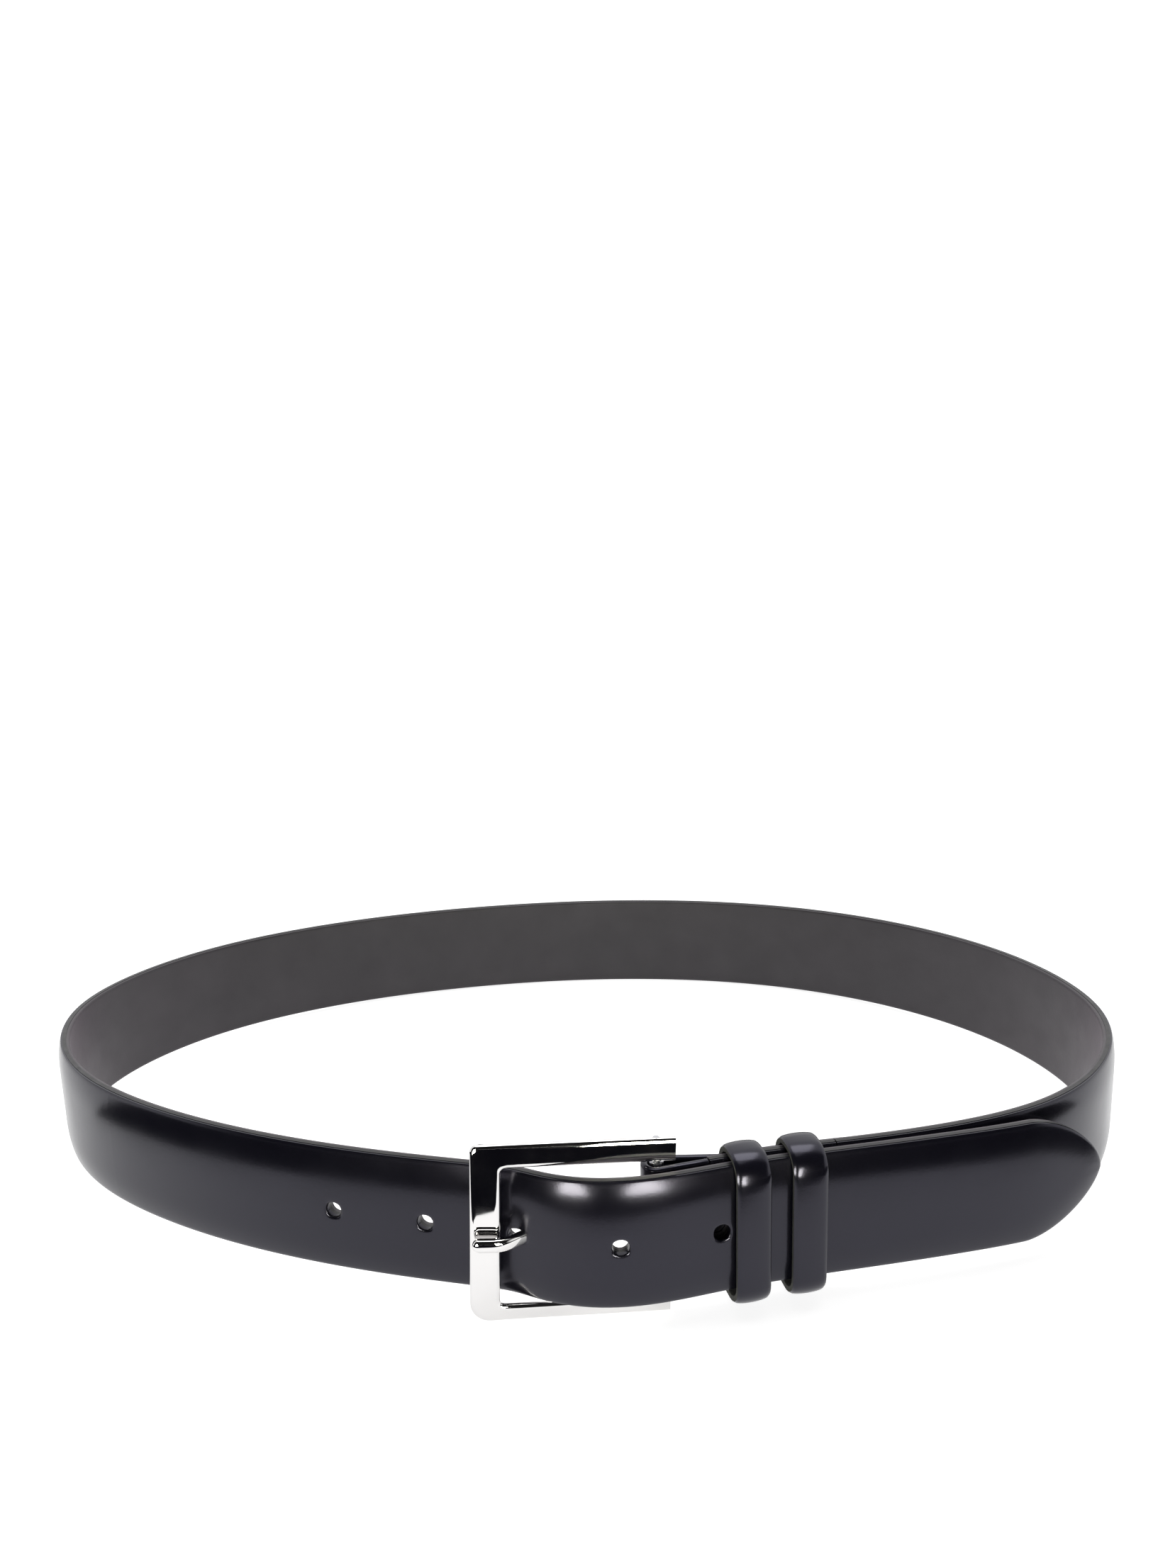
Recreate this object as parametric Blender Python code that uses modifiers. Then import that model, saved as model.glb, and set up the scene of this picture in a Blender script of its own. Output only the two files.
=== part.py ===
"""A gentleman's leather dress belt, fastened at its third hole and standing on its lower edge.

The belt is one strap of three layers (face leather, filler core, lining). Its buckle end is folded
round a steel heel bar that sits in a U-shaped buckle frame; two leather keepers are held in the fold,
and the punched end runs behind the front bar, over the fold and through both keepers to its tip.

Everything is drawn in the belt's own frame: the strap's length lies in the XY plane, its width runs
up from z = 0 to z = STRAP_WIDTH. The stance empty then tips that frame, so that the belt rests on the
buckle's lower arm and on the lower edge of the strap behind. Metres, +Z up, +Y away from the front.

The strap bends like one long spring. It is cut here at four upright hinge lines: at the heel bar and
at the left, the back and the right of the loop. Those four lines form a parallelogram, so the loop
opens and closes without stretching.
"""
import math

import bmesh
import bpy
import numpy as np
from mathutils import Matrix, Vector

MM = 0.001

# Strap: width, total thickness and its three layers, measured outward from the strap's mid-line.
STRAP_WIDTH = 35.0 * MM
STRAP_THICK = 3.8 * MM
LINING_RANGE = (-1.9 * MM, -0.9 * MM)
CORE_RANGE = (-0.6 * MM, 0.6 * MM)
FACE_RANGE = (0.9 * MM, 1.9 * MM)
SKIN_INSET = 0.2 * MM       # face and lining stop this far inside the core's edges
DOME_WIDTH = 2.6 * MM       # the face leather thins towards its edges over this width
DOME_FACTOR = 0.45          # to this part of its thickness
STATION = 6.0 * MM          # length of one straight step along the strap

# Loop of the strap: four quarter-ellipses round CENTRE.
CENTRE = (19.6 * MM, 0.1 * MM)
LEFT_REACH = 189.0 * MM
RIGHT_REACH = 149.7 * MM
RIGHT_SAG = 4.0 * MM        # the right side's widest point lies this far to the front
BACK_REACH = 107.8 * MM
FRONT_REACH = 100.2 * MM

# Holes: a row along the middle of the strap; the prong sits in number HOLE_USED.
HOLE_COUNT = 5
HOLE_USED = 3
HOLE_PITCH = 25.8 * MM
USED_HOLE_AT = (-27.1 * MM, -103.4 * MM)
HOLE_RADIUS = 2.2 * MM
PRONG_SLOT = 13.6 * MM      # length of the used hole, drawn out by the prong that lies in it
SLOT_SHIFT = 1.8 * MM       # towards the heel bar, where the prong comes from
PUNCH_DEPTH = 12.0 * MM

# Pointed end of the strap.
TIP_LENGTH = 24.0 * MM
TIP_POWER = 1.6
TIP_STATIONS = 10
TIP_CROWDING = 1.6          # stations crowd towards the point by this power
TIP_BLUNT = 0.012           # the outline ends this share of TIP_LENGTH before its point

# Buckle: heel bar axis, from CENTRE, and the frame that leans out from it.
HEEL_AXIS = (7.4 * MM, -98.7 * MM)
FRAME_LEAN = math.radians(9.4)
FRAME_ROLL = math.radians(2.5)   # the frame sits slightly askew on its bar, front bar high
FRAME_HEIGHT = 49.0 * MM
FRAME_LENGTH = 51.4 * MM
FRAME_THICK = 3.4 * MM
FRONT_BAR = 7.6 * MM
ARM_HEIGHT = 4.3 * MM
ARM_BEYOND_AXIS = 3.8 * MM
FRAME_ROUNDING = 0.9 * MM
HEEL_RADIUS = 1.8 * MM
TENON_RADIUS = 1.0 * MM
TENON_PLAY = 0.25 * MM
TENON_SHORT = 0.5 * MM      # the tenons end this far inside the arms' outer faces
CLEARANCE = 0.3 * MM

# Prong.
PRONG_WIDTH = 3.5 * MM
PRONG_THICK = 2.4 * MM
PRONG_EYE_WIDTH = 5.0 * MM
PRONG_EYE_WALL = 1.7 * MM
PRONG_TIP = 2.2 * MM        # length over which the prong rounds off to its end
PRONG_ROUNDING = 0.5 * MM
PRONG_RISE = 1.2 * MM       # its free end turns up by this much
PRONG_RISE_LENGTH = 13.0 * MM

# Fold of the buckle end, and the keepers round it.
FOLD_THICK = 2.0 * MM
FOLD_SLOT = 6.4 * MM
FOLD_SLOT_REACH = 8.0 * MM
FOLD_START = 18.0 * MM      # from the loop's centre, as are the flap's limits
FLAP_START, FLAP_END = 22.0 * MM, 57.3 * MM
KEEPER_PLACES = (29.6 * MM, 45.5 * MM)
KEEPER_WIDTH = 9.0 * MM
KEEPER_THICK = 2.0 * MM
KEEPER_SIDE_ROOM = 1.3 * MM
KEEPER_DROP = 1.3 * MM       # the keepers have slipped down by about this much
KEEPER_FRONT_ROOM = 0.5 * MM
KEEPER_CORNER = 1.6 * MM
STAPLE_WIRE = 0.5 * MM
STAPLE_SPAN = 5.0 * MM
STAPLE_PLAY = 0.3 * MM
CROWN_DEPTH = 0.35 * MM     # the staple's crown lies this far under the keeper's inner face
LAYER_STEP = 4.1 * MM       # strap mid-line to mid-line where two layers lie together

# Hinge cuts.
STRAP_JOIN = 54.0 * MM      # the loop closes here, behind the flap
JOIN_GAP = 0.3 * MM
FLEX_GAP = 0.6 * MM
BILLET_GAP = 2.0 * MM
SIDE_HINGE_ANGLE = 2.6      # degrees round the loop, towards the back

# Stance: the belt frame is tipped forward about X.
STANCE_TIP = math.atan2(-7.1, 205.2)
STANCE_LIFT = 3.76 * MM

# Billet (from hole end to tip) and buckle end, as plan points measured from CENTRE.
BILLET_POINTS = ((-52.5, -97.2), (-37.0, -100.0), (-30.0, -101.6), (-21.5, -105.0), (-8.0, -107.7),
                 (6.0, -106.2), (26.0, -100.0), (45.0, -94.7), (65.0, -89.9), (88.0, -84.1),
                 (110.0, -77.3), (128.0, -69.4))
BUCKLE_END_POINTS = ((7.4, -101.8), (26.0, -95.8), (45.0, -90.6), (65.0, -85.9), (80.0, -81.8),
                     (96.0, -76.2), (114.5, -66.6))
ARC_START, ARC_END, ARC_STEP = -24, 246, 22.5
PRONG_POINTS = ((4.4, -99.7), (-6.0, -100.9), (-14.5, -101.3), (-21.0, -101.6), (-26.5, -104.9),
                (-31.3, -109.0), (-34.8, -109.9), (-38.3, -110.5))

MATERIALS = {
    "face_leather": ((0.012, 0.012, 0.017), 0.25, 0.0),
    "filler": ((0.030, 0.027, 0.025), 0.70, 0.0),
    "lining_leather": ((0.055, 0.052, 0.056), 0.60, 0.0),
    "chrome": ((0.78, 0.78, 0.80), 0.08, 1.0),
    "steel": ((0.45, 0.46, 0.48), 0.30, 1.0),
}


class Path:
    """A smooth plan curve through a few points, measured by its own length."""

    def __init__(self, points, samples=6000):
        knots = np.array(points)
        at_knot = np.r_[0, np.cumsum(np.hypot(*np.diff(knots, axis=0).T))]
        span = np.diff(at_knot)
        count = len(knots)
        system = np.eye(count)
        target = np.zeros((count, 2))
        for i in range(1, count - 1):
            system[i, i - 1:i + 2] = span[i - 1], 2 * (span[i - 1] + span[i]), span[i]
            rise = (knots[i + 1] - knots[i]) / span[i] - (knots[i] - knots[i - 1]) / span[i - 1]
            target[i] = 6 * rise
        bend = np.linalg.solve(system, target)
        t = np.linspace(0, at_knot[-1], samples)
        k = np.clip(np.searchsorted(at_knot, t) - 1, 0, count - 2)
        h = span[k][:, None]
        back = (at_knot[k + 1] - t)[:, None]
        ahead = (t - at_knot[k])[:, None]
        self.xy = (bend[k] * back ** 3 + bend[k + 1] * ahead ** 3) / (6 * h)
        self.xy += (knots[k] / h - bend[k] * h / 6) * back
        self.xy += (knots[k + 1] / h - bend[k + 1] * h / 6) * ahead
        self.s = np.r_[0, np.cumsum(np.hypot(*np.diff(self.xy, axis=0).T))]
        self.length = self.s[-1]
        tangent = np.gradient(self.xy, self.s, axis=0)
        self.tangent = tangent / np.hypot(*tangent.T)[:, None]

    def direction(self, s):
        """Unit vector along the path."""
        x, y = (np.interp(s, self.s, self.tangent[:, i]) for i in (0, 1))
        return Vector((x, y, 0)).normalized()

    def outward(self, s):
        """Unit vector away from the inside of the loop."""
        along = self.direction(s)
        return Vector((along.y, -along.x, 0))

    def point(self, s, out=0.0, z=0.0):
        x, y = (np.interp(s, self.s, self.xy[:, i]) for i in (0, 1))
        return Vector((x, y, z)) + self.outward(s) * out

    def nearest(self, x, y, after=0.0, before=math.inf):
        """Length along the path to the point nearest (x, y)."""
        distance = np.hypot(self.xy[:, 0] - x, self.xy[:, 1] - y)
        distance[(self.s < after) | (self.s > before)] = 1e9
        return float(self.s[np.argmin(distance)])


def from_centre(x, y):
    return CENTRE[0] + x, CENTRE[1] + y


def loop_point(degrees):
    """A point of the loop's mid-line, counter-clockwise from the right."""
    c, s = math.cos(math.radians(degrees)), math.sin(math.radians(degrees))
    across = RIGHT_REACH if c > 0 else LEFT_REACH
    deep = BACK_REACH if s > 0 else FRONT_REACH
    return from_centre(across * c, deep * s - RIGHT_SAG * max(c, 0) ** 2)


def strap_points():
    """Plan points of the whole strap, from the heel bar round the loop to the tip."""
    points = [from_centre(x * MM, y * MM) for x, y in BUCKLE_END_POINTS]
    points += [loop_point(a) for a in np.arange(ARC_START, ARC_END, ARC_STEP)]
    points += [from_centre(x * MM, y * MM) for x, y in BILLET_POINTS]
    return points


STRAP = Path(strap_points())
HEEL = from_centre(*HEEL_AXIS)
HEEL_SPOT = Vector((HEEL[0], HEEL[1], 0))
RIGHT_HINGE = loop_point(SIDE_HINGE_ANGLE)
LEFT_HINGE = loop_point(180 - SIDE_HINGE_ANGLE)
BACK_HINGE = tuple(RIGHT_HINGE[i] + LEFT_HINGE[i] - HEEL[i] for i in (0, 1))
HALF_LOOP = STRAP.length / 2


def buckle_end_at(across):
    """Length along the buckle end of the strap to the place `across` from the loop's centre."""
    return STRAP.nearest(*from_centre(across, -90 * MM), before=HALF_LOOP)


def start_clean():
    for obj in list(bpy.data.objects):
        bpy.data.objects.remove(obj, do_unlink=True)


def new_collection(name):
    group = bpy.data.collections.new(name)
    bpy.context.scene.collection.children.link(group)
    return group


def make_material(name):
    colour, roughness, metallic = MATERIALS[name]
    material = bpy.data.materials.new(name)
    material.use_nodes = True
    shader = material.node_tree.nodes["Principled BSDF"]
    shader.inputs["Base Color"].default_value = (*colour, 1)
    shader.inputs["Roughness"].default_value = roughness
    shader.inputs["Metallic"].default_value = metallic
    material.diffuse_color = (*colour, 1)
    return material


def new_empty(name, location, parent=None):
    empty = bpy.data.objects.new(name, None)
    empty.empty_display_size = 0.01
    empty.location = location
    empty.parent = parent
    PARTS.objects.link(empty)
    return empty


def add_object(name, mesh, material, joint):
    """Links one sub-part; its mesh is in the belt frame and its parent empty is its joint."""
    obj = bpy.data.objects.new(name, mesh)
    mesh.materials.append(make_material(material))
    obj.parent = joint
    obj.location = -Vector(joint["spot"]) if "spot" in joint else (0, 0, 0)
    PARTS.objects.link(obj)
    return obj


def add_cutter(name, mesh):
    cutter = bpy.data.objects.new(name, mesh)
    cutter.hide_render = True
    cutter.display_type = "WIRE"
    cutter.parent = STANCE
    CUTTERS.objects.link(cutter)
    return cutter


def boolean(obj, cutter, operation="DIFFERENCE"):
    modifier = obj.modifiers.new(cutter.name, "BOOLEAN")
    modifier.object = cutter
    modifier.operation = operation
    modifier.solver = "EXACT"


def thicken(obj, thickness, offset):
    modifier = obj.modifiers.new("thickness", "SOLIDIFY")
    modifier.thickness = thickness
    modifier.offset = offset
    modifier.use_even_offset = True
    modifier.use_quality_normals = True
    return modifier


def round_edges(obj, width, segments=1, degrees=40):
    modifier = obj.modifiers.new("edges", "BEVEL")
    modifier.width = width
    modifier.segments = segments
    modifier.limit_method = "ANGLE"
    modifier.angle_limit = math.radians(degrees)


def grid_mesh(name, rows, closed=False):
    """An open surface through rows of points; a closed one joins its last row to its first."""
    bm = bmesh.new()
    grid = [[bm.verts.new(p) for p in row] for row in rows]
    pairs = list(zip(grid, grid[1:] + grid[:1])) if closed else list(zip(grid, grid[1:]))
    for row, following in pairs:
        for k in range(len(row) - 1):
            bm.faces.new((row[k], following[k], following[k + 1], row[k + 1]))
    mesh = bpy.data.meshes.new(name)
    bm.to_mesh(mesh)
    bm.free()
    return mesh


def box_mesh(name, size, place):
    bm = bmesh.new()
    bmesh.ops.create_cube(bm, size=1, matrix=place @ Matrix.Diagonal((*size, 1)))
    mesh = bpy.data.meshes.new(name)
    bm.to_mesh(mesh)
    bm.free()
    return mesh


def cylinder_mesh(name, radius, depth, place, sides=20):
    bm = bmesh.new()
    bmesh.ops.create_cone(bm, cap_ends=True, segments=sides, radius1=radius, radius2=radius,
                          depth=depth, matrix=place)
    mesh = bpy.data.meshes.new(name)
    bm.to_mesh(mesh)
    bm.free()
    return mesh


def frame_of(along, outward, spot):
    """Matrix whose X runs along the strap, Y inward and Z up the strap's width."""
    columns = (along, -outward, Vector((0, 0, 1)))
    matrix = Matrix([[c[i] for c in columns] for i in range(3)]).to_4x4()
    return Matrix.Translation(spot) @ matrix


def half_width(s):
    """Half of the strap's width, which closes to the pointed tip."""
    left = (STRAP.length - s) / TIP_LENGTH
    if left >= 1:
        return STRAP_WIDTH / 2
    left = max(left, TIP_BLUNT)
    return STRAP_WIDTH / 2 * (1 - (1 - left) ** TIP_POWER) ** (1 / TIP_POWER)


def stations(start, end):
    steps = max(2, round((end - start) / STATION))
    even = np.linspace(start, end, steps + 1)
    tip = STRAP.length - TIP_LENGTH
    if end <= tip:
        return even
    closing = STRAP.length - TIP_LENGTH * np.linspace(1, 0, TIP_STATIONS) ** TIP_CROWDING
    return np.r_[even[even < tip - STATION / 6], closing]


def strap_layer(name, material, joint, start, end, reach, inset=0.0, domed=False):
    """One layer of the strap between two lengths along it."""
    inner, outer = reach
    rows = []
    for s in stations(start, end):
        half = half_width(s) - inset
        edge = min(DOME_WIDTH, half * 0.5)
        heights = (-half, -half + edge, half - edge, half) if domed else (-half, half)
        rows.append([STRAP.point(s, inner, STRAP_WIDTH / 2 + z) for z in heights])
    obj = add_object(name, grid_mesh(name, rows), material, joint)
    modifier = thicken(obj, outer - inner, 1)
    if domed:
        group = obj.vertex_groups.new(name="dome")
        for index in range(len(obj.data.vertices)):
            group.add([index], DOME_FACTOR if index % 4 in (0, 3) else 1.0, "REPLACE")
        modifier.vertex_group = "dome"
    return obj


def punch(objects):
    """Cuts the row of holes; the used one is a slot that the prong lies in."""
    used = STRAP.nearest(*from_centre(*USED_HOLE_AT), after=HALF_LOOP)
    for number in range(1, HOLE_COUNT + 1):
        s = used + (number - HOLE_USED) * HOLE_PITCH
        spot = STRAP.point(s, 0, STRAP_WIDTH / 2)
        place = frame_of(STRAP.direction(s), STRAP.outward(s), spot)
        if number == HOLE_USED:
            mesh = box_mesh(f"hole_{number}", (PRONG_SLOT, PUNCH_DEPTH, 2 * HOLE_RADIUS),
                            place @ Matrix.Translation((SLOT_SHIFT, 0, 0)))
        else:
            mesh = cylinder_mesh(f"hole_{number}", HOLE_RADIUS, PUNCH_DEPTH,
                                 place @ Matrix.Rotation(math.radians(90), 4, "X"))
        cutter = add_cutter(f"hole_{number}_cutter", mesh)
        for obj, start, end in objects:
            if start < s < end:
                boolean(obj, cutter)


def make_strap(joints):
    over_heel = STRAP.nearest(*HEEL, after=HALF_LOOP)
    right, back, left = (STRAP.nearest(*spot) for spot in (RIGHT_HINGE, BACK_HINGE, LEFT_HINGE))
    join = buckle_end_at(STRAP_JOIN)
    first = buckle_end_at(FOLD_START) + CLEARANCE
    rear = (right + back) / 2
    side = (left + over_heel) / 2
    spans = (("fold_side", "fold_end", first, join - JOIN_GAP / 2),
             ("right_side", "right_side", join + JOIN_GAP / 2, right - FLEX_GAP / 2),
             ("rear_right", "rear_right", right + FLEX_GAP / 2, rear - JOIN_GAP / 2),
             ("rear_middle", "rear_right", rear + JOIN_GAP / 2, back - FLEX_GAP / 2),
             ("rear_left", "rear_left", back + FLEX_GAP / 2, left - FLEX_GAP / 2),
             ("left_side", "buckle", left + FLEX_GAP / 2, side - JOIN_GAP / 2),
             ("front_left", "buckle", side + JOIN_GAP / 2, over_heel - BILLET_GAP / 2),
             ("tail", "fold_end", over_heel + BILLET_GAP / 2, STRAP.length))
    punched = []
    for name, body, start, end in spans:
        joint = joints[body]
        core = strap_layer(f"core_{name}", "filler", joint, start, end, CORE_RANGE)
        face = strap_layer(f"face_{name}", "face_leather", joint, start, end, FACE_RANGE,
                           SKIN_INSET, domed=True)
        lining = strap_layer(f"lining_{name}", "lining_leather", joint, start, end, LINING_RANGE,
                             SKIN_INSET)
        punched += [(obj, start, end) for obj in (core, face, lining)]
    punch(punched)


def make_fold(joint):
    """The buckle end: it wraps the heel bar and is turned back inside the strap."""
    radius = HEEL_RADIUS + CLEARANCE + FOLD_THICK / 2
    first = [STRAP.point(s) for s in np.linspace(buckle_end_at(FOLD_START), 0.2 * MM, 3)]
    nose = [HEEL_SPOT + radius * Vector((-math.sin(a), -math.cos(a), 0))
            for a in np.linspace(0, math.pi, 11)]
    beside = STRAP_THICK / 2 + CLEARANCE + FOLD_THICK / 2
    flap_from, flap_to = (buckle_end_at(x) for x in (FLAP_START, FLAP_END))
    flap = [STRAP.point(s, -beside) for s in np.linspace(flap_from, flap_to, 7)]
    plan = first + nose[1:] + flap
    rows = [[p + Vector((0, 0, STRAP_WIDTH)), p] for p in plan]
    fold = add_object("turned_back_end", grid_mesh("turned_back_end", rows), "face_leather", joint)
    thicken(fold, FOLD_THICK, 0)
    place = Matrix.Translation(HEEL_SPOT + Vector((0, 0, STRAP_WIDTH / 2)))
    slot = box_mesh("fold_slot", (2 * FOLD_SLOT_REACH, 24 * MM, FOLD_SLOT), place)
    boolean(fold, add_cutter("fold_slot_cutter", slot))


def make_keeper(number, across, joint):
    """A closed leather loop round the billet, the strap and the turned-back end."""
    s = buckle_end_at(across)
    place = frame_of(STRAP.direction(s), STRAP.outward(s), STRAP.point(s))
    back = STRAP_THICK / 2 + FOLD_THICK + 2 * CLEARANCE
    front = LAYER_STEP + STRAP_THICK / 2 + CLEARANCE + KEEPER_FRONT_ROOM
    low, high = -KEEPER_SIDE_ROOM - KEEPER_DROP, STRAP_WIDTH + KEEPER_SIDE_ROOM
    ring = []
    for y, z, turn in ((-front, low, 180), (back, low, 270), (back, high, 0), (-front, high, 90)):
        middle = Vector((0, y - math.copysign(KEEPER_CORNER, y),
                         z + (KEEPER_CORNER if z < 0 else -KEEPER_CORNER)))
        for step in range(4):
            angle = math.radians(turn + 30 * step)
            ring.append(middle + KEEPER_CORNER * Vector((0, math.cos(angle), math.sin(angle))))
    half = Vector((KEEPER_WIDTH / 2, 0, 0))
    rows = [[place @ (p - half), place @ (p + half)] for p in ring]
    keeper = add_object(f"keeper_{number}", grid_mesh(f"keeper_{number}", rows, closed=True),
                        "face_leather", joint)
    thicken(keeper, KEEPER_THICK, 1)
    make_staple(number, keeper, place, back, joint)


def make_staple(number, keeper, place, back, joint):
    """Wire staple that closes the keeper's ends at the back, its legs in a pocket in the leather."""
    span = STAPLE_SPAN + STAPLE_WIRE
    middle = place @ Matrix.Translation((0, back + KEEPER_THICK / 2, STRAP_WIDTH / 2))
    lift = Matrix.Translation((0, KEEPER_THICK / 2 - CROWN_DEPTH, 0))
    crown = box_mesh("crown", (STAPLE_WIRE, STAPLE_WIRE, span), middle @ lift)
    staple = add_object(f"keeper_{number}_staple", crown, "steel", joint)
    leg_size = (0.9 * STAPLE_WIRE, 0.7 * KEEPER_THICK, STAPLE_WIRE)
    for side in (-1, 1):
        spot = middle @ Matrix.Translation((0, 0, side * STAPLE_SPAN / 2))
        leg = add_cutter(f"staple_{number}_leg_{side + 1}", box_mesh("leg", leg_size, spot))
        boolean(staple, leg, "UNION")
    play = 2 * STAPLE_PLAY
    pocket = box_mesh("pocket", (STAPLE_WIRE + play, 2 * KEEPER_THICK, span + play), middle)
    boolean(keeper, add_cutter(f"staple_{number}_pocket", pocket))


def frame_place():
    """Frame axes at the heel bar: X towards the front bar, Y outward, Z up."""
    along = Vector((-math.cos(FRAME_LEAN), -math.sin(FRAME_LEAN), 0))
    outward = Vector((math.sin(FRAME_LEAN), -math.cos(FRAME_LEAN), 0))
    spot = HEEL_SPOT + Vector((0, 0, STRAP_WIDTH / 2))
    columns = (along, outward, Vector((0, 0, 1)))
    return Matrix.Translation(spot) @ Matrix([[c[i] for c in columns] for i in range(3)]).to_4x4()


def make_frame(joint):
    """U-shaped frame: a broad front bar and two arms that end round the heel bar's tenons."""
    place = frame_place()
    rolled = place @ Matrix.Rotation(-FRAME_ROLL, 4, "Y")
    shift = Vector((FRAME_LENGTH / 2 - ARM_BEYOND_AXIS, 0, 0))
    body = box_mesh("buckle_frame", (FRAME_LENGTH, FRAME_THICK, FRAME_HEIGHT),
                    rolled @ Matrix.Translation(shift))
    obj = add_object("buckle_frame", body, "chrome", joint)
    inside = Vector((shift.x - FRONT_BAR, 0, 0))
    opening = FRAME_HEIGHT - 2 * ARM_HEIGHT
    window = box_mesh("frame_window", (FRAME_LENGTH, 4 * FRAME_THICK, opening),
                      rolled @ Matrix.Translation(inside))
    boolean(obj, add_cutter("frame_window_cutter", window))
    round_edges(obj, FRAME_ROUNDING, 2, 60)
    hole = cylinder_mesh("tenon_hole", TENON_RADIUS + TENON_PLAY, 1.1 * FRAME_HEIGHT, place, 16)
    boolean(obj, add_cutter("tenon_hole_cutter", hole))


def make_heel_bar(joint):
    """Turned steel bar between the arms, with a thin tenon in each."""
    half = FRAME_HEIGHT / 2
    shoulder = half - ARM_HEIGHT - CLEARANCE
    upper = ((0, half - TENON_SHORT), (TENON_RADIUS, half - TENON_SHORT), (TENON_RADIUS, shoulder),
             (HEEL_RADIUS, shoulder))
    profile = upper + tuple((x, -z) for x, z in reversed(upper))
    bm = bmesh.new()
    verts = [bm.verts.new((x, 0, z)) for x, z in profile]
    for a, b in zip(verts, verts[1:]):
        bm.edges.new((a, b))
    mesh = bpy.data.meshes.new("heel_bar")
    bm.to_mesh(mesh)
    bm.free()
    bar = add_object("heel_bar", mesh, "steel", joint)
    bar.location = (0, 0, STRAP_WIDTH / 2)
    turn = bar.modifiers.new("turn", "SCREW")
    turn.steps = turn.render_steps = 18
    turn.use_merge_vertices = True
    turn.merge_threshold = 0.00005


def make_prong(joint):
    """Tongue whose eye turns on the heel bar; its shank steps out through the used hole."""
    path = Path([from_centre(x * MM, y * MM) for x, y in PRONG_POINTS], 600)
    middle = STRAP_WIDTH / 2
    rows = []
    for s in np.linspace(0, path.length, 20):
        left = min(1.0, (path.length - s) / PRONG_TIP)
        half = PRONG_WIDTH / 2 * math.sqrt(max(0.08, 1 - (1 - left) ** 2))
        centre = middle + PRONG_RISE * max(0.0, 1 - (path.length - s) / PRONG_RISE_LENGTH)
        rows.append([path.point(s, 0, centre - half), path.point(s, 0, centre + half)])
    prong = add_object("prong", grid_mesh("prong", rows), "chrome", joint)
    thicken(prong, PRONG_THICK, 0)
    round_edges(prong, PRONG_ROUNDING, 1, 50)
    place = Matrix.Translation(HEEL_SPOT + Vector((0, 0, middle)))
    bore = HEEL_RADIUS + CLEARANCE
    eye = cylinder_mesh("prong_eye", bore + PRONG_EYE_WALL, PRONG_EYE_WIDTH, place, 24)
    boolean(prong, add_cutter("prong_eye_cutter", eye), "UNION")
    hole = cylinder_mesh("prong_bore", bore, 4 * PRONG_EYE_WIDTH, place, 24)
    boolean(prong, add_cutter("prong_bore_cutter", hole))


def make_joints():
    """Empties on the joint axes; each body's pieces hang from its empty."""
    joints = {"fold_end": STANCE}
    tree = (("buckle", "fold_end", HEEL), ("prong", "buckle", HEEL), ("rear_left", "buckle", LEFT_HINGE),
            ("rear_right", "rear_left", BACK_HINGE), ("right_side", "rear_right", RIGHT_HINGE))
    for body, parent, (x, y) in tree:
        above = joints[parent]
        spot = Vector((x, y, 0))
        origin = Vector(above["spot"]) if "spot" in above else Vector((0, 0, 0))
        empty = new_empty(f"{body}_axis", spot - origin, above)
        empty["spot"] = spot
        joints[body] = empty
    return joints


start_clean()
PARTS = new_collection("leather_belt")
CUTTERS = new_collection("cutters")
STANCE = new_empty("stance", (0, 0, STANCE_LIFT))
STANCE.rotation_euler = (STANCE_TIP, 0, 0)
JOINTS = make_joints()
make_strap(JOINTS)
make_fold(JOINTS["fold_end"])
for keeper_number, keeper_place in enumerate(KEEPER_PLACES, start=1):
    make_keeper(keeper_number, keeper_place, JOINTS["fold_end"])
make_frame(JOINTS["buckle"])
make_heel_bar(JOINTS["buckle"])
make_prong(JOINTS["prong"])
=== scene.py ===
"""Looks of the leather dress belt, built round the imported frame. Metres, +Z up."""
import math

import bmesh
import bpy
import numpy as np
from mathutils import Matrix, Vector


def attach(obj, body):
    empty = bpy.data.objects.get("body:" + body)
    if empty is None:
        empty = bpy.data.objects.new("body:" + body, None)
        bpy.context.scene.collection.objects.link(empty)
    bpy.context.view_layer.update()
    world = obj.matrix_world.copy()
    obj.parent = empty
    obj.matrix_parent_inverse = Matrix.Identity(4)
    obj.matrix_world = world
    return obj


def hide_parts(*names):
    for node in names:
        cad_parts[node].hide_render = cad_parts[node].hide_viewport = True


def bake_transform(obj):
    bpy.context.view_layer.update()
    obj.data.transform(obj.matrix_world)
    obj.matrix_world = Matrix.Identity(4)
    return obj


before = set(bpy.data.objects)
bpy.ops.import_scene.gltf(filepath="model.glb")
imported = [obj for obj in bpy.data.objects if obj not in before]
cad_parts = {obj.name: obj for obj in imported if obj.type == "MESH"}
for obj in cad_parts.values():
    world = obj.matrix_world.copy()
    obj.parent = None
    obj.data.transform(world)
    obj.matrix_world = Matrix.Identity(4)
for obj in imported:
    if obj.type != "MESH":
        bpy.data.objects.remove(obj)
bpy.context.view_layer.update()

MM = 0.001

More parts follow.
